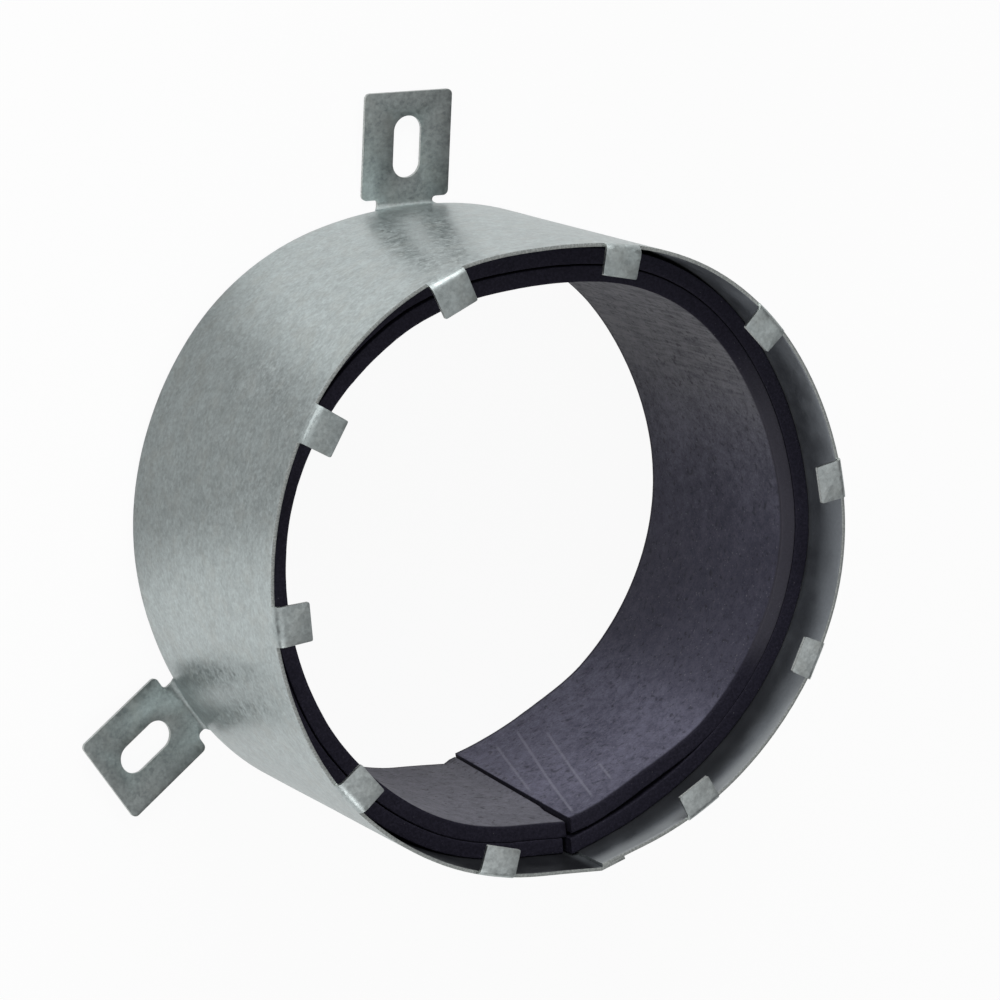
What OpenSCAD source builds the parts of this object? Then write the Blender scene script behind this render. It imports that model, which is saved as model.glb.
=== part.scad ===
// Pipe fire collar: a rolled galvanised casing with folded tabs and slotted wall lugs,
// lined with two turns of intumescent strip.
// Origin on the pipe axis in the mounting plane, +Z towards the tabbed front, seam at -Y.

/* [Casing] */
// Outer radius of the rolled band
casing_r = 63; // [50:0.5:90]
// Thickness of the galvanised sheet
sheet_t = 0.7; // [0.5:0.1:1]
// Width of the band between its two cut edges
band_w = 64; // [60:1:90]

/* [Seam] */
// Angle turned through by each straight, unrolled end of the band
end_angle = 10.75; // [8:0.25:15]
// Length of the outer end that laps over the inner one
lap_len = 6; // [5:0.5:8]
// Air left between the lapped sheets
lap_gap = 0.1; // [0.05:0.05:0.3]
// Diameter of a spot weld in the lap
weld_d = 3; // [2:0.5:4]
// Number of spot welds along the lap
weld_count = 4; // [2:1:6]

/* [Front tabs] */
// Number of tabs along the front edge
tab_count = 10; // [4:1:10]
// Angle from one tab to the next
tab_angle = 35; // [20:0.5:35]
// Width of a tab
tab_w = 7.8; // [5:0.1:12]
// How far a tab reaches in from the outer wall
tab_reach = 6; // [4:0.1:7]
// Inside radius of the fold at a tab's root
tab_bend_r = 0.6; // [0.4:0.1:1.5]
// Radius of a tab's two free corners
tab_corner_r = 0.6; // [0.2:0.1:1.5]

/* [Wall lugs] */
// Number of lugs along the back edge
lug_count = 3; // [2:1:3]
// Angle from the seam to the first lug, anticlockwise seen from the front
lug_first_angle = 50; // [40:0.5:60]
// Angle from one lug to the next
lug_angle = 124.5; // [110:0.5:125]
// Width of a lug's plate
lug_w = 19.4; // [18:0.1:26]
// How far a lug's plate reaches out from the wall
lug_reach = 24; // [22:0.5:32]
// Radius of the four corners of a lug's plate
lug_corner_r = 1; // [0.5:0.1:3]
// Inside radius of the fold at a lug's root
lug_bend_r = 0.4; // [0.3:0.1:1]
// Width of the neck that joins a lug to the band
neck_w = 12.6; // [10:0.1:14]
// Width of the notch between the band and a lug's shoulder
notch_w = 2.8; // [2.4:0.1:4]

/* [Lug slots] */
// Width of a screw slot
slot_w = 6.2; // [4:0.1:8]
// Overall length of a screw slot
slot_len = 13; // [9:0.1:14]
// Distance of a slot's centre from the outer wall
slot_offset = 13; // [11:0.1:14]

/* [Intumescent strips] */
// Thickness of one turn of strip
strip_t = 3.2; // [2:0.1:5]
// Width of the strip along the pipe
strip_w = 53; // [30:0.5:56]
// Glue line between the casing and the outer strip
glue_gap = 0.15; // [0.1:0.05:0.4]
// Air between the two turns of strip
wind_gap = 0.1; // [0.05:0.05:0.4]
// Opening left where the two ends of a strip meet
butt_gap = 0.3; // [0.2:0.1:2]

/* [Hidden] */
$fn = 96;

seam_dir = -90;
seam_turn = 2 * end_angle;
wall_r = casing_r - sheet_t;
fold_rise = sheet_t / 2;
band_z = sheet_t + lug_bend_r + fold_rise;
front_z = band_z + band_w;
lap_in = casing_r + lap_gap;
lap_out = lap_in + sheet_t;
root_bite = sheet_t / 2;
tab_first_angle = (360 - (tab_count - 1) * tab_angle) / 2;
outer_strip_r = wall_r - glue_gap;
inner_strip_r = outer_strip_r - strip_t - wind_gap;

// Along one straight end, the place where its face at distance r meets the other end's face
function corner_y(r, other_r) = (other_r - r * cos(seam_turn)) / sin(seam_turn);

// Turns +X to the given angle from the seam, anticlockwise seen from the front
module at(angle) {
    rotate([0, 0, seam_dir + angle]) children();
}

// Round part of a wall, swept from one angle from the seam to another
module arc_wall(r, t, h, from, to) {
    at(from)
        rotate_extrude(angle = to - from)
            translate([r - t, 0])
                square([t, h]);
}

// Straight end of a strip, cut in the seam's plane: side 1 lies after the seam, side -1 before it
module butt_end(r, side) {
    faces = [r - strip_t, r];
    cut = [for (x = faces) (butt_gap / 2 - x * sin(end_angle)) / cos(end_angle)];
    at(side * end_angle)
        scale([1, side, 1])
            linear_extrude(strip_w)
                polygon([[faces[0], 0], [faces[0], cut[0]], [faces[1], cut[1]], [faces[1], 0]]);
}

// Sheet turned through a right angle, in section: its outer corner at the origin, one leg running
// down and the other running to -X
module bend(r, leg, plate) {
    centre = [-sheet_t - r, -sheet_t - r];
    difference() {
        union() {
            translate([-sheet_t, -leg]) square([sheet_t, leg]);
            translate([-plate, -sheet_t]) square([plate, sheet_t]);
            difference() {
                translate(centre) square(sheet_t + r);
                translate(centre) circle(r);
            }
        }
        difference() {
            translate(centre) square(sheet_t + r);
            translate(centre) circle(sheet_t + r);
        }
    }
}

// Rectangle from x0 to x1, centred on the X axis, with round corners at both ends
module round_plate(x0, x1, w, r) {
    translate([x0, r - w / 2]) square([x1 - x0, w - 2 * r]);
    translate([x0 + r, -w / 2]) square([x1 - x0 - 2 * r, w]);
    for (x = [x0 + r, x1 - r], y = [r - w / 2, w / 2 - r])
        translate([x, y]) circle(r);
}

// Slot along the X axis with round ends
module round_slot(x, length, w) {
    span = length - w;
    translate([x - span / 2, -w / 2]) square([span, w]);
    for (side = [-1, 1])
        translate([x + side * span / 2, 0]) circle(d = w);
}

// Inner end of the band: straight, and stopping clear of the outer end
module inner_band_end() {
    length = corner_y(casing_r, wall_r - lap_gap);
    at(end_angle)
        translate([wall_r, -length, band_z])
            cube([sheet_t, length, band_w]);
}

// Outer end of the band: straight, then turned at the seam's corner to lap over the inner end
module outer_band_end() {
    lap_start = -corner_y(lap_in, wall_r);
    translate([0, 0, band_z]) {
        at(-end_angle)
            linear_extrude(band_w)
                polygon([
                    [wall_r, 0],
                    [casing_r, 0],
                    [casing_r, corner_y(casing_r, lap_out)],
                    [wall_r, corner_y(wall_r, lap_in)]
                ]);
        at(end_angle)
            linear_extrude(band_w)
                polygon([
                    [lap_in, lap_start],
                    [lap_out, -corner_y(lap_out, casing_r)],
                    [lap_out, lap_start + lap_len],
                    [lap_in, lap_start + lap_len]
                ]);
    }
}

// Spot welds that bridge the air in the lap, half a sheet deep into each end
module lap_welds() {
    weld_y = lap_len / 2 - corner_y(lap_in, wall_r);
    for (i = [0 : weld_count - 1])
        at(end_angle)
            translate([casing_r - sheet_t / 2, weld_y, band_z + band_w * (i + 0.5) / weld_count])
                rotate([0, 90, 0])
                    cylinder(d = weld_d, h = sheet_t + lap_gap);
}

// Outline of a tab seen along the pipe, square at its root
module tab_outline(tip_x) {
    translate([tip_x + tab_corner_r, -tab_w / 2])
        square([tab_reach, tab_w]);
    translate([tip_x, tab_corner_r - tab_w / 2])
        square([tab_reach, tab_w - 2 * tab_corner_r]);
    for (side = [-1, 1])
        translate([tip_x + tab_corner_r, side * (tab_w / 2 - tab_corner_r)])
            circle(tab_corner_r);
}

// Tab folded in over the front edge
module tab() {
    root_x = casing_r - glue_gap / 2;
    tip_x = casing_r - tab_reach;
    top_z = front_z + fold_rise + tab_bend_r + sheet_t;
    intersection() {
        translate([root_x, 0, top_z])
            rotate([90, 0, 0])
                linear_extrude(2 * tab_w, center = true)
                    bend(tab_bend_r, top_z - front_z + root_bite, root_x - tip_x);
        translate([0, 0, front_z - root_bite])
            linear_extrude(top_z - front_z + 2 * root_bite)
                tab_outline(tip_x);
    }
}

// Outline of a lug in the mounting plane: plate, neck with a round notch at each side, and slot
module lug_outline() {
    notch_r = notch_w / 2;
    shoulder_x = casing_r + notch_w;
    neck_x = wall_r - notch_w;
    difference() {
        union() {
            round_plate(shoulder_x, casing_r + lug_reach, lug_w, lug_corner_r);
            translate([neck_x, -neck_w / 2 - notch_r])
                square([shoulder_x + lug_corner_r - neck_x, neck_w + notch_w]);
        }
        for (side = [-1, 1])
            translate([shoulder_x - notch_r, side * (neck_w / 2 + notch_r)]) {
                circle(notch_r);
                translate([-casing_r, -notch_r]) square([casing_r, notch_w]);
            }
        round_slot(casing_r + slot_offset, slot_len, slot_w);
    }
}

// Lug folded out at the back edge, its back face in the mounting plane
module lug() {
    heel_x = wall_r - glue_gap / 2;
    intersection() {
        translate([heel_x, 0, 0])
            rotate([90, 0, 0])
                linear_extrude(2 * lug_w, center = true)
                    rotate(180)
                        bend(lug_bend_r, band_z + root_bite, lug_reach + 2 * sheet_t);
        translate([0, 0, -root_bite])
            linear_extrude(band_z + 2 * root_bite)
                lug_outline();
    }
}

// One folded sheet: rolled band, seam ends, tabs and lugs
module casing() {
    color([0.62, 0.66, 0.66]) {
        translate([0, 0, band_z])
            arc_wall(casing_r, sheet_t, band_w, end_angle, 360 - end_angle);
        inner_band_end();
        outer_band_end();
        lap_welds();
        for (i = [0 : tab_count - 1])
            at(tab_first_angle + i * tab_angle) tab();
        for (i = [0 : lug_count - 1])
            at(lug_first_angle + i * lug_angle) lug();
    }
}

// First turn of strip, following the casing wall into the seam's corner
module outer_strip() {
    color([0.16, 0.16, 0.18]) {
        arc_wall(outer_strip_r, strip_t, strip_w, end_angle, 360 - end_angle);
        butt_end(outer_strip_r, 1);
        butt_end(outer_strip_r, -1);
    }
}

// Second turn of strip: its first end stays round, so it stands proud of its last end at the seam
module inner_strip() {
    first_end = asin(butt_gap / 2 / inner_strip_r);
    color([0.2, 0.2, 0.22]) {
        arc_wall(inner_strip_r, strip_t, strip_w, -end_angle, first_end - 360);
        butt_end(inner_strip_r, -1);
    }
}

casing();
outer_strip();
inner_strip();
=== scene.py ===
import math

import bmesh
import bpy
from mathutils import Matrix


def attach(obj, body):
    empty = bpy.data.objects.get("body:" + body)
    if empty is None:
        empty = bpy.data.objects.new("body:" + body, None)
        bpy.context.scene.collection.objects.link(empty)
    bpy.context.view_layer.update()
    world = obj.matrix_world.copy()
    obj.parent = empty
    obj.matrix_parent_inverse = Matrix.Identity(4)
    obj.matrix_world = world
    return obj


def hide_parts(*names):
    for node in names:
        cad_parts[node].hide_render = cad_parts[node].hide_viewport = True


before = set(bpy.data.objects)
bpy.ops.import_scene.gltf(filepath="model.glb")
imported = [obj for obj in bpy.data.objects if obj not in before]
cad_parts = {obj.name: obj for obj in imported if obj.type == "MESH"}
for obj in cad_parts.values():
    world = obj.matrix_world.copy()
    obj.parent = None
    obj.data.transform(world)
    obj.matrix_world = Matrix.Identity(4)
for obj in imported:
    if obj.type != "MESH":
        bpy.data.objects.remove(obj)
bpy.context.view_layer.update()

mm = 0.001
scene = bpy.context.scene
scene.view_settings.view_transform = "Standard"
print("frame loaded:", ", ".join(sorted(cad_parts)))


def deg(*values):
    turned = [math.radians(value) for value in values]
    return turned[0] if len(turned) == 1 else turned


class Wire:  # an output socket; sums on it add Math nodes

    def __init__(self, bench, socket):
        self.bench = bench
        self.socket = socket

    def __add__(self, other):
        return self.bench.maths("ADD", self, other)

    def __radd__(self, other):
        return self.bench.maths("ADD", other, self)

    def __sub__(self, other):
        return self.bench.maths("SUBTRACT", self, other)

    def __rsub__(self, other):
        return self.bench.maths("SUBTRACT", other, self)

    def __mul__(self, other):
        return self.bench.maths("MULTIPLY", self, other)

    def __rmul__(self, other):
        return self.bench.maths("MULTIPLY", other, self)

    def __truediv__(self, other):
        return self.bench.maths("DIVIDE", self, other)

    def __rtruediv__(self, other):
        return self.bench.maths("DIVIDE", other, self)

    def __neg__(self):
        return self.bench.maths("MULTIPLY", self, -1)


class Bench:  # adds nodes to one tree

    def __init__(self, tree):
        self.tree = tree

    def add(self, kind, settings=None, inputs=None, out=0):
        node = self.tree.nodes.new(kind)
        for key, value in (settings or {}).items():
            setattr(node, key, value)
        for key, value in (inputs or {}).items():
            if isinstance(value, Wire):
                self.tree.links.new(value.socket, node.inputs[key])
            else:
                node.inputs[key].default_value = value
        return Wire(self, node.outputs[out]) if len(node.outputs) else None

    def maths(self, operation, *values):
        return self.add("ShaderNodeMath", {"operation": operation}, dict(enumerate(values)))

    def least(self, a, b):
        return self.maths("MINIMUM", a, b)

    def most(self, a, b):
        return self.maths("MAXIMUM", a, b)

    def size(self, a):
        return self.maths("ABSOLUTE", a)

    def cosine(self, a):
        return self.maths("COSINE", a)

    def sine(self, a):
        return self.maths("SINE", a)

    def ease(self, value, low, high):  # 0 at low, 1 at high
        return self.add("ShaderNodeMapRange", {"interpolation_type": "SMOOTHSTEP"},
                        {"Value": value, "From Min": low, "From Max": high})

    def span(self, value, rise, fall):  # up from 0 to 1 over rise, down to 0 over fall
        return self.ease(value, *rise) * (1 - self.ease(value, *fall))

    def sector(self, turn, rise, fall):  # a span whose ends are given in degrees
        return self.span(turn, deg(*rise), deg(*fall))

    def vector(self, x, y, z):
        return self.add("ShaderNodeCombineXYZ", None, {0: x, 1: y, 2: z})

    def noise(self, place, scale, detail, rough):
        return self.add("ShaderNodeTexNoise", None,
                        {"Vector": place, "Scale": scale, "Detail": detail, "Roughness": rough})

    def blend(self, share, a, b):  # of two colours
        a, b = [(*c, 1) if isinstance(c, tuple) else c for c in (a, b)]
        return self.add("ShaderNodeMix", {"data_type": "RGBA"}, {0: share, 6: a, 7: b}, 2)

    def bump(self, strength, depth, height):
        return self.add("ShaderNodeBump", None,
                        {"Strength": strength, "Distance": depth, "Height": height})

    def place(self):  # object coordinates in a material, in metres
        return self.add("ShaderNodeTexCoord", out=3)

    def painted(self, name):  # a point attribute, in a material
        return self.add("ShaderNodeAttribute", {"attribute_name": name}, None, 2)

    def stored(self, name):  # a point attribute, in a geometry tree
        return self.add("GeometryNodeInputNamedAttribute", {"data_type": "FLOAT"}, {"Name": name})


def newShader(name):
    material = bpy.data.materials.new(name)
    material.use_nodes = True
    material.node_tree.nodes.clear()
    return material, Bench(material.node_tree)


def finishShader(bench, inputs):
    surface = bench.add("ShaderNodeBsdfPrincipled", None, inputs)
    bench.add("ShaderNodeOutputMaterial", None, {"Surface": surface})


def newGeometryTree(name, inputs):  # named inputs, in millimetres, radians or shares
    tree = bpy.data.node_groups.new(name, "GeometryNodeTree")
    tree.interface.new_socket("Geometry", in_out="OUTPUT", socket_type="NodeSocketGeometry")
    tree.interface.new_socket("Geometry", in_out="INPUT", socket_type="NodeSocketGeometry")
    kinds = {key: "NodeSocketFloat" for key in inputs} | {"Finish": "NodeSocketMaterial"}
    ids = {}
    for key, kind in kinds.items():
        socket = tree.interface.new_socket(key, in_out="INPUT", socket_type=kind)
        ids[key] = socket.identifier
    bench = Bench(tree)
    source = tree.nodes.new("NodeGroupInput")
    wires = {socket.name: Wire(bench, socket) for socket in source.outputs if socket.name}
    return tree, bench, wires, ids


def finishGeometryTree(bench, wires, place):  # moves every point and sets the finish
    moved = bench.add("GeometryNodeSetPosition", None,
                      {"Geometry": wires["Geometry"], "Position": place})
    real = bench.add("GeometryNodeRealizeInstances", None, {"Geometry": moved})
    done = bench.add("GeometryNodeSetMaterial", None,
                     {"Geometry": real, "Material": wires["Finish"]})
    end = bench.tree.nodes.new("NodeGroupOutput")
    bench.tree.links.new(done.socket, end.inputs[0])


def runGeometryTree(name, blank, tree, ids, values, finish):  # plain mesh object from a blank
    holder = bpy.data.objects.new(name + "Blank", blank)
    scene.collection.objects.link(holder)
    modifier = holder.modifiers.new("shape", "NODES")
    modifier.node_group = tree
    for key, value in values.items():
        modifier[ids[key]] = float(value)
    modifier[ids["Finish"]] = finish
    return plainCopy(name, holder)


def plainCopy(name, holder):  # mesh with its modifiers applied, in place of the holder
    seen = holder.evaluated_get(bpy.context.evaluated_depsgraph_get())
    mesh = bpy.data.meshes.new_from_object(seen)
    mesh.name = name
    bpy.data.objects.remove(holder)
    piece = bpy.data.objects.new(name, mesh)
    scene.collection.objects.link(piece)
    return piece


def finishBlank(work, name):
    bmesh.ops.recalc_face_normals(work, faces=work.faces)
    mesh = bpy.data.meshes.new(name)
    work.to_mesh(mesh)
    work.free()
    return mesh


def smoothWithCreases(piece, creaseAngle):
    work = bmesh.new()
    work.from_mesh(piece.data)
    for face in work.faces:
        face.smooth = True
    for edge in work.edges:
        edge.smooth = edge.is_manifold and edge.calc_face_angle(0) < creaseAngle
    work.to_mesh(piece.data)
    work.free()


def arcPoints(cx, cy, r, start, stop, steps):
    angles = [deg(start + (stop - start) * i / steps) for i in range(steps + 1)]
    return [(cx + r * math.cos(a), cy + r * math.sin(a)) for a in angles]


# as-made form of the rolled band, which the strips follow; turns from the seam are in degrees
bandForm = {
    # edges out of round: wave number, share of the radius, phase
    "front": [(1, 0.00472, 245.8), (2, 0.01193, 175.7), (3, 0.01031, 51.7),
              (4, 0.00822, 164.8), (5, 0.00353, 6.6), (6, 0.00253, 215.0)],
    "back": [(1, 0.01982, 193.9), (2, 0.01827, 164.0), (3, 0.00617, 130.5),
             (4, 0.01028, 155.8), (5, 0.00075, 16.3), (6, 0.0048, 204.1)],
    # front edge bent out on the left, as shares of the radius
    "flare": 0.0131, "flareRise": (132.4, 196.5), "flareFall": (292.9, 326.2),
    "lip": 0.008, "lipAt": 197.3, "lipHalf": 21.0,
    "seamLevel": (14.0, 40.0),  # nearer the seam, the back edge takes the front edge's form
}


def outOfRound(bench, turn, waves):
    total = 1
    for number, share, phase in waves:
        total = total + share * bench.cosine(turn * number + deg(phase))
    return total


def rolledRadius(bench, turn, height, radius, startAngle, endAngle, lapAngle, lapRise):
    # turn goes once round from the seam, and past 360 degrees into the lap
    # height is 0 at the band's back edge and 1 at its front edge
    form = bandForm
    left = 2 * math.pi - turn
    lean = bench.most(bench.most(startAngle - turn, endAngle - left), 0)
    plain = radius / bench.cosine(lean)  # both ends of the band are straight
    past = bench.most(-left, 0)
    before = radius / bench.cosine(endAngle + past)
    over = (radius + lapRise) / bench.cosine(lapAngle - past)
    lapped = bench.least(before, over)
    inLap = bench.maths("GREATER_THAN", past, 0)
    level = bench.ease(bench.least(turn, left), *deg(*form["seamLevel"]))
    share = bench.most(bench.least(height, 1), 0)
    front = outOfRound(bench, turn, form["front"])
    back = outOfRound(bench, turn, form["back"])
    flare = bench.sector(turn, form["flareRise"], form["flareFall"])
    lip = 1 - bench.ease(bench.size(turn - deg(form["lipAt"])), 0, deg(form["lipHalf"]))
    front = front + form["flare"] * flare + form["lip"] * lip
    shape = front + level * (1 - share) * (back - front)
    return (plain + inLap * (lapped - plain)) * shape


# casing: a flat blank of sheet, rolled and folded; millimetres, turns in degrees
casingPlan = {
    "sheet": 0.7, "radius": 62.65, "bandZ": 1.45, "bandWidth": 64.0,
    "firstTurn": 0.8, "lastTurn": 365.5, "startAngle": 9.65, "endAngle": 11.85, "lapRise": 0.65,
    "tabs": [  # turn, reach
        (162.7, 6.4), (198.6, 7.4), (233.6, 7.2), (268.8, 7.1), (303.8, 6.5),
        (338.1, 6.2), (23.5, 6.2), (58.8, 5.7), (93.3, 6.4), (127.7, 6.1)],
    "tabWidth": 7.8, "tabTaper": 0.97, "tabCorner": 0.35, "tabBend": 1.3,
    "lugs": [  # turn, reach, notch, slot's middle, skew
        (49.9, 24.0, 2.8, 13.0, 0.0), (174.7, 23.5, 1.4, 12.1, -0.45),
        (298.7, 23.4, 2.25, 12.6, -0.7)],
    "lugWidth": 19.8, "lugCorner": 1.1, "lugRise": 0.1, "lugBend": 1.0, "lugLean": 7.0,
    "neckWidth": 12.6, "neckFlare": 0.9, "slotLength": 12.9, "slotWidth": 6.2,
    "flatWithin": 1.3,  # a fold has lost the band's curve this far from the edge
    "wave": 0.16, "waveScale": (3.2, 0.05, 1.7),  # dents: height; noise by turn, width and seed
    "edgeRound": 0.16, "edgeAngle": 50, "crease": 24,
    # the mesh: columns round the band, rows across it, and steps in its bends and corners
    "columnPitch": 2.2, "seamColumns": (10.0, 350.0, 360.0, 360.5),
    "rows": [0, 0.8, 2.5, 7, 13, 20, 27, 34, 41, 48, 54, 59, 62, 63.2, 64],
    "bendShares": [0.17, 0.34, 0.51, 0.68, 0.84, 0.96, 1],  # a short last step keeps plates flat
    "tabSteps": 3, "filletSteps": 6, "cornerSteps": 5, "slotSteps": 10,
}


def casingBlank(plan):
    radius, rows = plan["radius"], plan["rows"]
    work = bmesh.new()
    keys = ("turn", "foldTurn", "sideways", "along")
    layers = {key: work.verts.layers.float.new(key) for key in keys}

    def point(turn, along, foldTurn=None, sideways=0.0):
        foldTurn = turn if foldTurn is None else foldTurn
        flatX = radius * deg(foldTurn) + sideways
        vert = work.verts.new((flatX * mm, along * mm, 0))
        for key, value in zip(keys, (deg(turn), deg(foldTurn), sideways, along)):
            vert[layers[key]] = value
        return vert

    # columns at the folds first, then an even spread between them
    folds = [(turn, plan["tabWidth"] / 2) for turn, reach in plan["tabs"]]
    folds += [(lug[0], plan["neckWidth"] / 2 + plan["neckFlare"]) for lug in plan["lugs"]]
    fixed = {plan["firstTurn"], plan["lastTurn"], *plan["seamColumns"]}
    for turn, half in folds:
        fixed |= {turn + math.degrees(half * share / radius) for share in (-1, -0.5, 0, 0.5, 1)}
    fixed = sorted(fixed)
    columns = []
    for a, b in zip(fixed, fixed[1:]):
        count = max(1, round((b - a) / plan["columnPitch"]))
        columns += [a + (b - a) * i / count for i in range(count)]
    columns.append(fixed[-1])
    grid = [[point(turn, along) for along in rows] for turn in columns]
    for a, b in zip(grid, grid[1:]):
        for i in range(len(rows) - 1):
            work.faces.new((a[i], b[i], b[i + 1], a[i + 1]))

    def edgeColumns(turn, half, row):  # band points under a fold: place across it, turn, point
        reach = math.degrees(half / radius) + 1e-6
        return [(radius * deg(t - turn), t, grid[i][row])
                for i, t in enumerate(columns) if abs(t - turn) <= reach]

    def foldRows(turn, base, steps, edge, sign):  # faces across a bend, and its last row
        last = [vert for side, t, vert in base]
        for step, narrow in steps:
            row = [point(t, edge + sign * step, turn, side * narrow) for side, t, vert in base]
            for i in range(len(row) - 1):
                work.faces.new((last[i], last[i + 1], row[i + 1], row[i]))
            last = row
        return last

    for turn, reach in plan["tabs"]:
        half, bend, corner = plan["tabWidth"] / 2, plan["tabBend"], plan["tabCorner"]
        arc = bend * math.pi / 2
        base = edgeColumns(turn, half, len(rows) - 1)
        steps = [(arc * share, 1) for share in plan["bendShares"]]
        last = foldRows(turn, base, steps, plan["bandWidth"], 1)
        end = arc + reach - plan["sheet"] / 2 - bend
        tip = half * plan["tabTaper"]
        outline = arcPoints(end - corner, tip - corner, corner, 90, 0, plan["tabSteps"])
        outline += arcPoints(end - corner, corner - tip, corner, 0, -90, plan["tabSteps"])
        ring = [point(turn + math.degrees(y / radius), plan["bandWidth"] + x, turn, y)
                for x, y in outline]
        work.faces.new(last + ring)

    for turn, reach, notch, slotAt, skew in plan["lugs"]:
        bend, rise, flare = plan["lugBend"], plan["lugRise"], plan["neckFlare"]
        neck, half, corner = plan["neckWidth"] / 2, plan["lugWidth"] / 2, plan["lugCorner"]
        root = neck + flare
        arc = bend * deg(90 + plan["lugLean"])
        base = edgeColumns(turn, root, 0)
        steps = [(rise + arc * share, 1 - (1 - (1 - share) ** 2) * flare / root)
                 for share in plan["bendShares"]]
        last = foldRows(turn, base, steps, 0, -1)
        start = rise + arc
        wall = plan["sheet"] / 2 - bend  # from the bend's end back to the band's outer face
        shoulder, tip, fillet = notch + wall, reach + wall, notch / 2
        slotR = plan["slotWidth"] / 2
        slotHalf = plan["slotLength"] / 2 - slotR
        slotA, slotB = slotAt + wall - slotHalf, slotAt + wall + slotHalf
        cornerSteps = plan["cornerSteps"]
        outline = arcPoints(shoulder - fillet, neck + fillet, fillet, 270, 360, plan["filletSteps"])
        outline += arcPoints(shoulder + corner, half - corner, corner, 180, 90, cornerSteps)
        outline += arcPoints(tip - corner, half - corner, corner, 90, 0, cornerSteps)
        slot = arcPoints(slotB, 0, slotR, 0, 90, plan["slotSteps"])
        slot += arcPoints(slotA, 0, slotR, 90, 180, plan["slotSteps"])
        c, s = math.cos(deg(skew)), math.sin(deg(skew))

        def plate(x, y):  # x out from the bend's end, y across
            across = turn + math.degrees(y / radius)
            return point(across, -start - x * c + y * s, turn, x * s + y * c)

        tipMid = plate(tip, 0)
        slotEnds = [plate(*slot[0]), plate(*slot[-1])]
        middle = len(last) // 2
        for side, neckRow in ((1, last[middle:]), (-1, last[:middle + 1][::-1])):
            outer = [plate(x, y * side) for x, y in outline]
            inner = [plate(x, y * side) for x, y in slot[1:-1]]
            work.faces.new(neckRow + outer + [tipMid, slotEnds[0]] + inner + [slotEnds[1]])

    return finishBlank(work, "casingBlank")


def foldPath(bench, length, rise, bend, angle):  # how far a folded sheet has gone on and across
    swing = bench.most(bench.least((length - rise) / bend, angle), 0)
    rest = bench.most(length - rise - bend * angle, 0)
    on = bench.least(length, rise) + bend * bench.sine(swing) + rest * bench.cosine(angle)
    across = bend * (1 - bench.cosine(swing)) + rest * bench.sine(angle)
    return on, across


def casingTree(plan):
    tree, bench, wires, ids = newGeometryTree("rollAndFold", [
        "Radius", "Start Angle", "End Angle", "Lap Rise", "Band Z", "Band Width",
        "Tab Bend", "Lug Rise", "Lug Bend", "Lug Angle", "Wave"])
    turn, foldTurn = bench.stored("turn"), bench.stored("foldTurn")
    sideways, along = bench.stored("sideways"), bench.stored("along")
    width = wires["Band Width"]
    over = bench.most(along - width, 0)
    under = bench.most(-along, 0)
    flat = bench.ease(over + under, 0, plan["flatWithin"])
    angle = turn + flat * (foldTurn - turn)
    up, inward = foldPath(bench, over, 0, wires["Tab Bend"], math.pi / 2)
    down, outward = foldPath(bench, under, wires["Lug Rise"], wires["Lug Bend"], wires["Lug Angle"])
    byTurn, byWidth, seed = plan["waveScale"]
    dents = bench.noise(bench.vector(turn * byTurn, along * byWidth, seed), 1, 2, 0.5)
    reach = rolledRadius(bench, angle, along / width, wires["Radius"], wires["Start Angle"],
                         wires["End Angle"], wires["Start Angle"], wires["Lap Rise"])
    reach = reach - inward + outward + wires["Wave"] * (dents - 0.5) * (1 - flat)
    heading = angle - math.pi / 2
    side = flat * sideways
    x = reach * bench.cosine(heading) - side * bench.sine(heading)
    y = reach * bench.sine(heading) + side * bench.cosine(heading)
    z = wires["Band Z"] + bench.most(bench.least(along, width), 0) + up - down
    finishGeometryTree(bench, wires, bench.vector(x * mm, y * mm, z * mm))
    return tree, ids


# noises in the looks: scale, detail, roughness; places along the pipe from the band's back edge
zincLook = {
    "grain": (1300, 3, 0.65), "cloud": (60, 3, 0.5), "patch": (330, 3, 0.6),
    "crystals": 1150, "midRange": (0.3, 0.7),
    "toneShares": (0.4, 0.25, 0.35),  # of grain, patches and crystals
    # darkest and lightest zinc of the band, of the darker lugs, and of the tabs by the seam, lighter
    # there as painted light
    "band": ((0.35, 0.392, 0.392), (0.635, 0.703, 0.703)),
    "lugs": ((0.24, 0.265, 0.265), (0.49, 0.534, 0.528)), "lugsWithin": (0, 2),
    "tabs": ((0.44, 0.478, 0.478), (0.79, 0.85, 0.85)), "tabsWithin": (64, 66),
    # painted light on the tabs, growing with their distance from plainTabsAt
    "plainTabsAt": 200, "paintedTabLightAway": (40, 130),
    "stain": (210, 3, 0.6), "stainRange": (0.45, 0.7), "stainShare": 0.16,
    "stainColour": (0.5, 0.49, 0.44),
    "lugFold": ((0, 0.4), (1.4, 2.4)), "tabFold": ((63.8, 64.4), (66.2, 67.5)),
    "rough": 0.26, "roughBy": (0.08, 0.16, 0.3, 0.12),  # clouds, crystals, lug folds, tab folds
    "metal": 0.96, "metalLoss": 0.1,
    "bump": 0.12, "bumpDepth": 0.00002, "bumpCrystals": 0.4,
}


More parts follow.
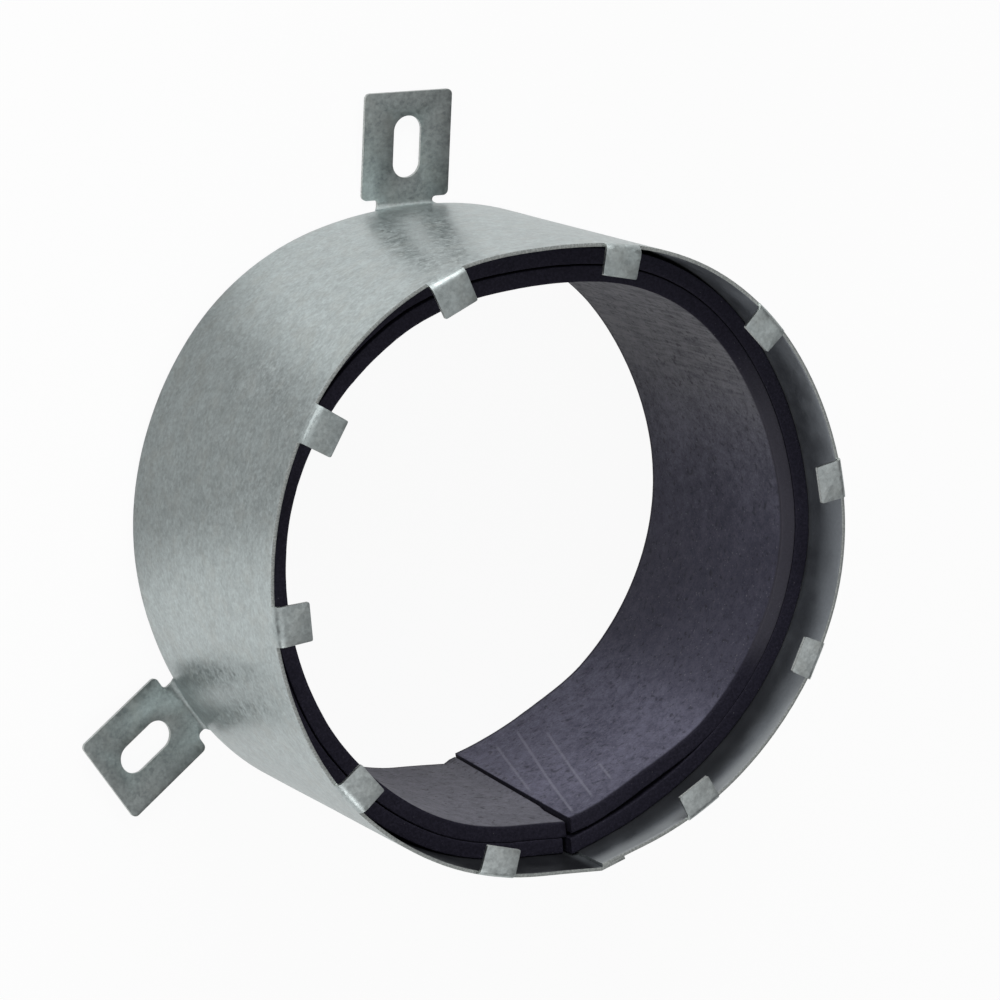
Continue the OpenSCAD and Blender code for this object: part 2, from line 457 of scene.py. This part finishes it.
def galvanisedShader(look):
    material, bench = newShader("galvanisedSheet")
    place = bench.place()
    along, turn = bench.painted("along"), bench.painted("turn")
    behind = -along
    grain, cloud, patch, stain = [bench.noise(place, *look[key])
                                  for key in ("grain", "cloud", "patch", "stain")]
    crystals = bench.add("ShaderNodeTexVoronoi", {"feature": "F1"},
                         {"Vector": place, "Scale": look["crystals"]}, 1)
    shade = bench.add("ShaderNodeSeparateColor", None, {0: crystals})
    byGrain, byPatch, byShade = look["toneShares"]
    mid = look["midRange"]
    tone = byGrain * bench.ease(grain, *mid) + byPatch * bench.ease(patch, *mid) + byShade * shade
    band, lugs, tabs = [bench.blend(tone, *look[key]) for key in ("band", "lugs", "tabs")]
    # painted light: tabs lighter the farther they stand from turn 200, towards the seam
    away = bench.size(turn - deg(look["plainTabsAt"]))
    paintedTabLight = bench.ease(along, *look["tabsWithin"]) * bench.ease(away, *deg(*look["paintedTabLightAway"]))
    colour = bench.blend(bench.ease(behind, *look["lugsWithin"]), band, lugs)
    colour = bench.blend(paintedTabLight, colour, tabs)
    stained = look["stainShare"] * bench.ease(stain, *look["stainRange"])
    colour = bench.blend(stained, colour, look["stainColour"])
    lugFold, tabFold = bench.span(behind, *look["lugFold"]), bench.span(along, *look["tabFold"])
    rough = look["rough"]
    for share, cause in zip(look["roughBy"], (cloud, shade, lugFold, tabFold)):
        rough = rough + share * cause
    metal = look["metal"] - look["metalLoss"] * bench.ease(cloud, *mid)
    bump = bench.bump(look["bump"], look["bumpDepth"], grain + look["bumpCrystals"] * shade)
    finishShader(bench, {"Base Color": colour, "Metallic": metal, "Roughness": rough,
                         "Normal": bump})
    return material


glueLook = {
    "smear": (90, 4, 0.6), "smearRange": (0.35, 0.65), "grain": (1500, 2, 0.6),
    "smearShare": 0.4, "grainShare": 0.6,
    "film": ((0.25, 0.272, 0.295), (0.42, 0.455, 0.49)),
    "seamSide": (40, 68),  # by the seam, painted shade darkens the wall next to the strips, and painted light brightens it along the front edge
    # painted shade on the wall next to the strips
    "paintedStripShade": (0.15, 0.16, 0.175), "paintedStripShadeUpTo": (55, 61),
    # painted light along the front edge, where the sheet is also less metallic
    "paintedRimLight": (0.43, 0.458, 0.475), "paintedRimLightFrom": (58.5, 62.5), "paintedRimLightBack": 2, "paintedRimLightBackBy": (25, 50),
    "black": (0.03, 0.03, 0.036), "blackRise": (290, 315), "blackFall": (358, 360), "blackShare": 0.8,
    "metal": 0.85, "metalLoss": 0.55, "rough": 0.3, "roughSmear": 0.16,
}


def gluedFaceShader(look):
    material, bench = newShader("gluedSheetFace")
    place = bench.place()
    turn, along = bench.painted("turn"), bench.painted("along")
    smear = bench.ease(bench.noise(place, *look["smear"]), *look["smearRange"])
    grain = bench.noise(place, *look["grain"])
    colour = bench.blend(look["smearShare"] * smear + look["grainShare"] * grain, *look["film"])
    seamSide = 1 - bench.ease(turn, *deg(*look["seamSide"]))
    # painted shade: the wall darker towards the strips, by the seam
    paintedStripShade = seamSide * (1 - bench.ease(along, *look["paintedStripShadeUpTo"]))
    colour = bench.blend(paintedStripShade, colour, look["paintedStripShade"])
    # painted light: the wall lighter along the front edge, by the seam
    back = look["paintedRimLightBack"] * bench.ease(turn, *deg(*look["paintedRimLightBackBy"]))
    paintedRimLight = seamSide * bench.ease(along - back, *look["paintedRimLightFrom"])
    colour = bench.blend(paintedRimLight, colour, look["paintedRimLight"])
    black = bench.sector(turn, look["blackRise"], look["blackFall"])
    colour = bench.blend(look["blackShare"] * black, colour, look["black"])
    finishShader(bench, {"Base Color": colour,
                         "Metallic": look["metal"] - look["metalLoss"] * paintedRimLight,
                         "Roughness": look["rough"] + look["roughSmear"] * smear})
    return material


edgeLook = {
    "drag": (2600, 2, 0.6), "dragRange": (0.35, 0.7),
    "metal": ((0.42, 0.45, 0.44), (0.66, 0.69, 0.67)), "rough": 0.3, "roughDrag": 0.2,
}


def cutEdgeShader(look):
    material, bench = newShader("cutSheetEdge")
    drag = bench.noise(bench.place(), *look["drag"])
    colour = bench.blend(bench.ease(drag, *look["dragRange"]), *look["metal"])
    finishShader(bench, {"Base Color": colour, "Metallic": 1.0,
                         "Roughness": look["rough"] + look["roughDrag"] * drag})
    return material


def makeCasing(plan):
    tree, ids = casingTree(plan)
    values = {
        "Radius": plan["radius"], "Start Angle": deg(plan["startAngle"]),
        "End Angle": deg(plan["endAngle"]), "Lap Rise": plan["lapRise"],
        "Band Z": plan["bandZ"], "Band Width": plan["bandWidth"],
        "Tab Bend": plan["tabBend"], "Lug Rise": plan["lugRise"], "Lug Bend": plan["lugBend"],
        "Lug Angle": deg(90 + plan["lugLean"]), "Wave": plan["wave"]}
    zinc = galvanisedShader(zincLook)
    sheet = runGeometryTree("casingSheet", casingBlank(plan), tree, ids, values, zinc)
    sheet.data.materials.append(gluedFaceShader(glueLook))
    sheet.data.materials.append(cutEdgeShader(edgeLook))
    wall = sheet.modifiers.new("thickness", "SOLIDIFY")
    wall.thickness = plan["sheet"] * mm
    wall.offset = 0
    wall.use_even_offset = True
    wall.material_offset = 1
    wall.material_offset_rim = 2
    edges = sheet.modifiers.new("edges", "BEVEL")
    edges.width = plan["edgeRound"] * mm
    edges.segments = 2
    edges.limit_method = "ANGLE"
    edges.angle_limit = deg(plan["edgeAngle"])
    piece = plainCopy("casingSheet", sheet)
    smoothWithCreases(piece, deg(plan["crease"]))
    return piece


casing = makeCasing(casingPlan)
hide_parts("casing")
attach(casing, "root")
print("casing rolled:", len(casing.data.polygons), "faces")


# strips: one turn each, laid against the casing and against each other; millimetres, degrees
stripPlan = {
    "thickness": 3.2, "width": 52.0, "baseZ": 2.4, "edge": 0.2,
    "lapAngle": casingPlan["startAngle"], "endAngle": casingPlan["endAngle"],
    "tailAt": 18, "tailHalf": 21,  # the inner turn's first end lifts off here
    # hang off the wall: loose on the left, bulging at the top
    "loose": 1.15, "looseRise": (150, 200), "looseFall": (308, 340),
    "bulge": 1.6, "bulgeRise": (125, 170), "bulgeFall": (210, 255),
    # front edge: sunk in two steps on the right, forward at the seam
    "dip": 1.4, "dipSteps": ((10, 28), (75, 100)), "dipFall": (125, 170),
    "forward": 1.7, "forwardFall": (0, 20), "frontPart": (30, 52),
    # noises: places by turn, width and seed, then scale, detail and roughness
    "lumps": (58, 0.9, 0, 0.35, 4, 0.6), "fray": (58, 0.2, 9, 0.7, 4, 0.65),
    "frayShare": 4, "frayLevel": 0.35, "crease": 40,
    "rings": 260, "edgeSteps": 3, "backSteps": 4, "liningSteps": 22, "frontSteps": 6, "wallSteps": 6,
}
# first and last are the turns of the ends at the back and at the front
outerPlan = {"radius": 62.15, "first": (-0.6, -0.6), "last": (358.4, 358.4),
             "startAngle": casingPlan["startAngle"],
             "lift": 0.0, "bow": 0.85, "rough": 0.12, "lining": 0}
innerPlan = {"radius": 58.85, "first": (2.8, -0.3), "last": (362.5, 359.4),
             "startAngle": 0.0,  # its first end stays round and stands proud
             "lift": 1.2, "bow": 1.0, "rough": 0.1, "lining": 1}


def stripSection(plan):  # round-cornered outline: depth from the wall, place along the pipe
    t, w, r = plan["thickness"], plan["width"], plan["edge"]

    def between(a, b, steps):
        return [tuple(p + (q - p) * i / steps for p, q in zip(a, b)) for i in range(1, steps)]

    turnSteps = plan["edgeSteps"]
    outline = between((r, 0), (t - r, 0), plan["backSteps"])
    outline += arcPoints(t - r, r, r, -90, 0, turnSteps)
    outline += between((t, r), (t, w - r), plan["liningSteps"])
    outline += arcPoints(t - r, w - r, r, 0, 90, turnSteps)
    outline += between((t - r, w), (r, w), plan["frontSteps"])
    outline += arcPoints(r, w - r, r, 90, 180, turnSteps)
    outline += between((0, w - r), (0, r), plan["wallSteps"])
    outline += arcPoints(r, r, r, 180, 270, turnSteps)
    return outline


def stripBlank(name, plan, shared):
    section, count = stripSection(shared), shared["rings"]
    work = bmesh.new()
    keys = ("turn", "depth", "along", "lining")
    layers = {key: work.verts.layers.float.new(key) for key in keys}

    def slanted(ends, along):
        return ends[0] + (ends[1] - ends[0]) * along / shared["width"]

    rings = []
    for i in range(count + 1):
        ring = []
        for depth, along in section:
            first, last = slanted(plan["first"], along), slanted(plan["last"], along)
            turn = deg(first + (last - first) * i / count)
            vert = work.verts.new((plan["radius"] * turn * mm, along * mm, -depth * mm))
            for key, value in zip(keys, (turn, depth, along, plan["lining"])):
                vert[layers[key]] = value
            ring.append(vert)
        rings.append(ring)
    size = len(section)
    for a, b in zip(rings, rings[1:]):
        for i in range(size):
            j = (i + 1) % size
            work.faces.new((a[i], a[j], b[j], b[i]))
    work.faces.new(rings[0])
    work.faces.new(rings[-1][::-1])
    return finishBlank(work, name + "Blank")


def stripTree(plan, bandWidth):
    tree, bench, wires, ids = newGeometryTree("layStrip", [
        "Radius", "Start Angle", "End Angle", "Lap Angle", "Base Z", "Lift", "Bow", "Dip",
        "Forward", "Rough"])
    turn, depth, along = bench.stored("turn"), bench.stored("depth"), bench.stored("along")
    tail = (turn - deg(plan["tailAt"])) / deg(plan["tailHalf"])
    tail = bench.most(1 - tail * tail, 0)
    loose = plan["loose"] * bench.sector(turn, plan["looseRise"], plan["looseFall"])
    bulge = plan["bulge"] * bench.sector(turn, plan["bulgeRise"], plan["bulgeFall"])
    lift = wires["Lift"] * tail * tail + wires["Bow"] * (loose + bulge)
    firstStep, lastStep = [bench.ease(turn, *deg(*step)) for step in plan["dipSteps"]]
    sink = 0.5 * firstStep + 0.5 * lastStep
    sink = wires["Dip"] * sink * (1 - bench.ease(turn, *deg(*plan["dipFall"])))
    sink = sink - wires["Forward"] * (1 - bench.ease(turn, *deg(*plan["forwardFall"])))

    def roughness(byTurn, byWidth, seed, *scale):
        return bench.noise(bench.vector(turn * byTurn, along * byWidth, depth + seed), *scale)

    lumps, fray = roughness(*plan["lumps"]), roughness(*plan["fray"])
    reach = rolledRadius(bench, turn, along / bandWidth, wires["Radius"], wires["Start Angle"],
                         wires["End Angle"], wires["Lap Angle"], 0.0)
    reach = reach - depth - lift + wires["Rough"] * (lumps - 0.5)
    frayed = plan["frayShare"] * wires["Rough"] * (fray - plan["frayLevel"])
    z = wires["Base Z"] + along - bench.ease(along, *plan["frontPart"]) * (sink + frayed)
    heading = turn - math.pi / 2
    x, y = reach * bench.cosine(heading), reach * bench.sine(heading)
    finishGeometryTree(bench, wires, bench.vector(x * mm, y * mm, z * mm))
    return tree, ids


# places in the strip's look are from the strip's back edge; turns in degrees
stripLook = {
    "skinDepth": (2.9, 3.15), "skinRise": (0.2, 1.2), "skinFall": (50.8, 51.8),
    "grain": (2000, 4, 0.75), "mottle": (430, 5, 0.7), "cloud": (45, 3, 0.5),
    "filmShares": (0.4, 0.4, 0.2), "filmRange": (0.32, 0.68),  # of mottle, grain and clouds
    "cool": ((0.066, 0.066, 0.1), (0.19, 0.187, 0.262)),  # bluish near the seam
    "plain": ((0.066, 0.066, 0.078), (0.205, 0.205, 0.227)),
    "plainRise": (75, 125), "plainFall": (280, 330), "plainLoss": 0.6,
    "streakPlace": (70, 0.09, 3), "streak": (1, 4, 0.6), "streakRange": (0.38, 0.62),
    # painted light on the inner strip's face from turn 98 to 170, in streaks
    "paintedLight": (0.27, 0.27, 0.285), "paintedLightRise": (98, 126), "paintedLightFall": (150, 170), "paintedLightShare": 0.62,
    # painted light on the inner strip's face from turn 300 round to the seam
    "paintedSeamLightRise": (300, 330), "paintedSeamLightFall": (362, 365), "paintedSeamLightShare": 0.3,
    # painted shade on the inner strip's face from turn 42 to 114
    "paintedShade": (0.036, 0.034, 0.056), "paintedShadeRise": (42, 60), "paintedShadeFall": (72, 114),
    "paintedShadeWander": 0.25, "paintedShadeShare": 0.62,
    "finePits": (1000, 2, 0.5), "finePitRange": (0.62, 0.69),
    "pits": (500, 3, 0.6), "pitRange": (0.6, 0.68), "pitColour": (0.02, 0.02, 0.03), "pitShare": 0.6,
    "specks": (1700, 2, 0.5), "speckRange": (0.66, 0.72), "speckColour": (0.3, 0.3, 0.34),
    "speckShare": 0.4,
    # score lines: turn and place along the pipe of both ends, on the lining's radius
    "scores": [((9.9, 6.4), (2.0, 33.5)), ((16.2, 5.5), (1.7, 50)), ((19.3, 13.7), (8.3, 48)),
               ((17.6, 37.6), (14.8, 46.8))],
    "scoreRadius": 54.6, "scoreHalf": (0.1, 0.42), "scoreIn": 2, "scoreOut": 1,
    "scoreGrain": (0.2, 0.5), "scoreColour": (0.25, 0.25, 0.31), "scoreShare": 0.7,
    "cut": ((0.006, 0.005, 0.014), (0.02, 0.018, 0.034)), "cutRange": (0.35, 0.7),
    # the inner turn's cut face lighter from turn 50 to 126
    "lighterCutFace": (0.085, 0.082, 0.1), "lighterCutFaceRise": (50, 62), "lighterCutFaceFall": (104, 126), "lighterCutFaceShare": 0.5,
    "flecks": (2300, 2, 0.5), "fleckRange": (0.72, 0.78), "fleckColour": (0.2, 0.2, 0.21),
    "fleckShare": 0.5,
    "rough": 0.78, "gloss": 0.2, "specular": 0.3,
    "bump": 0.35, "bumpDepth": 0.00012, "bumpMottle": 0.8,
}


def scoreLines(bench, turn, along, look):
    radius, ends = look["scoreRadius"], look["scoreOut"]
    lines = 0
    for (turnA, alongA), (turnB, alongB) in look["scores"]:
        spanX, spanY = radius * deg(turnB - turnA), alongB - alongA
        length = math.hypot(spanX, spanY)
        uX, uY = spanX / length, spanY / length
        dX, dY = turn * radius - radius * deg(turnA), along - alongA
        run = dX * uX + dY * uY
        away = bench.size(dX * uY - dY * uX)
        fade = bench.span(run, (-ends, look["scoreIn"]), (length - look["scoreIn"], length + ends))
        lines = (1 - bench.ease(away, *look["scoreHalf"])) * fade + lines
    return bench.least(lines, 1)


def stripShader(look):
    material, bench = newShader("intumescentStrip")
    place = bench.place()
    turn, depth, along = bench.painted("turn"), bench.painted("depth"), bench.painted("along")
    lining = bench.painted("lining")  # 1 on the inner turn
    skin = lining * bench.ease(depth, *look["skinDepth"])
    skin = skin * bench.span(along, look["skinRise"], look["skinFall"])
    grain, mottle, cloud = [bench.noise(place, *look[key]) for key in ("grain", "mottle", "cloud")]

    def spots(noise, limits):
        return bench.ease(bench.noise(place, *look[noise]), *look[limits])

    pits = bench.most(spots("finePits", "finePitRange"), spots("pits", "pitRange"))
    byMottle, byGrain, byCloud = look["filmShares"]
    film = bench.ease(byMottle * mottle + byGrain * grain + byCloud * cloud, *look["filmRange"])
    plainFar = 1 - look["plainLoss"] * bench.ease(turn, *deg(*look["plainFall"]))
    plain = bench.ease(turn, *deg(*look["plainRise"])) * plainFar
    face = bench.blend(plain, bench.blend(film, *look["cool"]), bench.blend(film, *look["plain"]))
    byTurn, byWidth, seed = look["streakPlace"]
    streak = bench.noise(bench.vector(turn * byTurn, along * byWidth, seed), *look["streak"])
    # painted light: lighter streaks on the face from turn 98 to 170
    paintedLight = bench.sector(turn, look["paintedLightRise"], look["paintedLightFall"])
    paintedLight = look["paintedLightShare"] * paintedLight * bench.ease(streak, *look["streakRange"])
    # painted light: the face lighter from turn 300 round to the seam
    paintedSeamLight = look["paintedSeamLightShare"] * bench.sector(turn, look["paintedSeamLightRise"], look["paintedSeamLightFall"])
    face = bench.blend(bench.most(paintedLight, paintedSeamLight), face, look["paintedLight"])
    # painted shade: the face darker from turn 42 to 114, with a wandering edge
    wander = turn + look["paintedShadeWander"] * cloud
    paintedShade = bench.sector(wander, look["paintedShadeRise"], look["paintedShadeFall"])
    face = bench.blend(look["paintedShadeShare"] * paintedShade, face, look["paintedShade"])
    face = bench.blend(look["pitShare"] * pits, face, look["pitColour"])
    specks = spots("specks", "speckRange")
    face = bench.blend(look["speckShare"] * specks, face, look["speckColour"])
    lines = scoreLines(bench, turn, along, look) * skin * bench.ease(grain, *look["scoreGrain"])
    face = bench.blend(look["scoreShare"] * lines, face, look["scoreColour"])

    cut = bench.blend(bench.ease(grain, *look["cutRange"]), *look["cut"])
    # the inner turn's cut face lighter from turn 50 to 126
    lighterCutFace = lining * bench.sector(turn, look["lighterCutFaceRise"], look["lighterCutFaceFall"])
    cut = bench.blend(look["lighterCutFaceShare"] * lighterCutFace, cut, look["lighterCutFace"])
    flecks = spots("flecks", "fleckRange")
    cut = bench.blend(look["fleckShare"] * flecks, cut, look["fleckColour"])

    height = grain + look["bumpMottle"] * mottle - pits
    finishShader(bench, {"Base Color": bench.blend(skin, cut, face),
                         "Roughness": look["rough"] - look["gloss"] * film * skin,
                         "Normal": bench.bump(look["bump"], look["bumpDepth"], height),
                         "Specular IOR Level": look["specular"]})
    return material


intumescent = stripShader(stripLook)
layTree, layIds = stripTree(stripPlan, casingPlan["bandWidth"])


def makeStrip(name, plan, shared):
    values = {
        "Radius": plan["radius"], "Start Angle": deg(plan["startAngle"]),
        "End Angle": deg(shared["endAngle"]), "Lap Angle": deg(shared["lapAngle"]),
        "Base Z": shared["baseZ"], "Lift": plan["lift"], "Bow": plan["bow"],
        "Dip": shared["dip"], "Forward": shared["forward"], "Rough": plan["rough"]}
    blank = stripBlank(name, plan, shared)
    piece = runGeometryTree(name, blank, layTree, layIds, values, intumescent)
    smoothWithCreases(piece, deg(shared["crease"]))
    return piece


stripList = [("outerStrip", outerPlan, "outer_strip"), ("innerStrip", innerPlan, "inner_strip")]
for name, plan, node in stripList:
    strip = makeStrip(name, plan, stripPlan)
    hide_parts(node)
    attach(strip, "root")
    print(name, "laid:", len(strip.data.polygons), "faces")


# studio: white table, soft sky, broad lamps, camera at the photo's angle; metres and degrees
studioPlan = {
    "floorSize": 3.0, "floorWhite": 0.82, "glow": 0.94, "mirrorGlow": 0.55,
    # painted dark reflection: a dark patch on the table beside the part, seen only in the metal
    "paintedReflectionAt": 151.4, "paintedReflectionFrom": (0.045, 0.062), "paintedReflectionHalf": 0.034, "paintedReflectionSoft": 0.012, "paintedReflectionDark": 0.5,
    "sky": 0.02, "skyTop": 0.45, "skyRise": (0.3, 0.95),
    "lampAway": 0.9,
    "lamps": [  # azimuth, elevation, watts, size
        (88, 32, 4.4, 0.5), (241, 32, 2.3, 0.5), (141, 29, 1.1, 0.24)],
    "cameraAt": (-0.351485, 0.199785, 0.712905), "cameraTurn": (-11.03223, -28.88629, -6.65032),
    "lens": 142.143, "sensor": 36, "farthest": 10,
}


def tableShader(plan):
    material, bench = newShader("whiteTable")
    ray = bench.tree.nodes.new("ShaderNodeLightPath")
    seen, glossy, through = [Wire(bench, ray.outputs[key]) for key in
                             ("Is Camera Ray", "Is Glossy Ray", "Is Transmission Ray")]
    mirrored = bench.most(glossy, through)
    place = bench.place()
    az = deg(plan["paintedReflectionAt"])

    def distance(x, y):
        return bench.add("ShaderNodeVectorMath", {"operation": "DOT_PRODUCT"},
                         {0: place, 1: (x, y, 0)}, 1)

    # painted reflection: the table darkened in a patch beside the part, for rays off the metal only
    onward = distance(math.cos(az), math.sin(az))
    aside = bench.size(distance(-math.sin(az), math.cos(az)))
    half, soft = plan["paintedReflectionHalf"], plan["paintedReflectionSoft"]
    paintedReflection = plan["paintedReflectionDark"] * bench.ease(onward, *plan["paintedReflectionFrom"])
    paintedReflection = paintedReflection * (1 - bench.ease(aside, half - soft, half + soft))
    bright = 1 - paintedReflection * mirrored
    tone = plan["floorWhite"] * bright
    paper = bench.add("ShaderNodeBsdfDiffuse", None, {"Color": bench.vector(tone, tone, tone)})
    glow = bench.add("ShaderNodeEmission", None, {"Color": (1, 1, 1, 1), "Strength": bright})
    share = bench.most(seen * plan["glow"], mirrored * plan["mirrorGlow"])
    both = bench.add("ShaderNodeMixShader", None, {0: share, 1: paper, 2: glow})
    bench.add("ShaderNodeOutputMaterial", None, {"Surface": both})
    return material


def makeStudio(plan):
    half = plan["floorSize"] / 2
    corners = [(-half, -half, 0), (half, -half, 0), (half, half, 0), (-half, half, 0)]
    mesh = bpy.data.meshes.new("floor")
    mesh.from_pydata(corners, [], [(0, 1, 2, 3)])
    mesh.materials.append(tableShader(plan))
    floor = bpy.data.objects.new("floor", mesh)
    scene.collection.objects.link(floor)

    world = bpy.data.worlds.new("softSky")
    scene.world = world
    world.use_nodes = True
    world.node_tree.nodes.clear()
    bench = Bench(world.node_tree)
    way = bench.add("ShaderNodeTexCoord", out=0)
    height = bench.add("ShaderNodeSeparateXYZ", None, {0: way}, 2)
    level = plan["sky"] + plan["skyTop"] * bench.ease(height, *plan["skyRise"])
    sky = bench.add("ShaderNodeBackground", None, {"Color": (1, 1, 1, 1), "Strength": level})
    bench.add("ShaderNodeOutputWorld", None, {"Surface": sky})

    for azimuth, elevation, watts, size in plan["lamps"]:
        lamp = bpy.data.lights.new("softBox", "AREA")
        lamp.energy = watts
        lamp.size = size
        holder = bpy.data.objects.new("softBox", lamp)
        az, el = deg(azimuth, elevation)
        across, up = plan["lampAway"] * math.cos(el), plan["lampAway"] * math.sin(el)
        holder.location = (across * math.cos(az), across * math.sin(az), up)
        holder.rotation_euler = (math.pi / 2 - el, 0, az + math.pi / 2)
        scene.collection.objects.link(holder)

    view = bpy.data.cameras.new("camera")
    view.lens = plan["lens"]
    view.sensor_width = plan["sensor"]
    view.clip_end = plan["farthest"]
    camera = bpy.data.objects.new("camera", view)
    camera.location = plan["cameraAt"]
    camera.rotation_euler = deg(*plan["cameraTurn"])
    scene.collection.objects.link(camera)
    scene.camera = camera


makeStudio(studioPlan)
print("studio set")
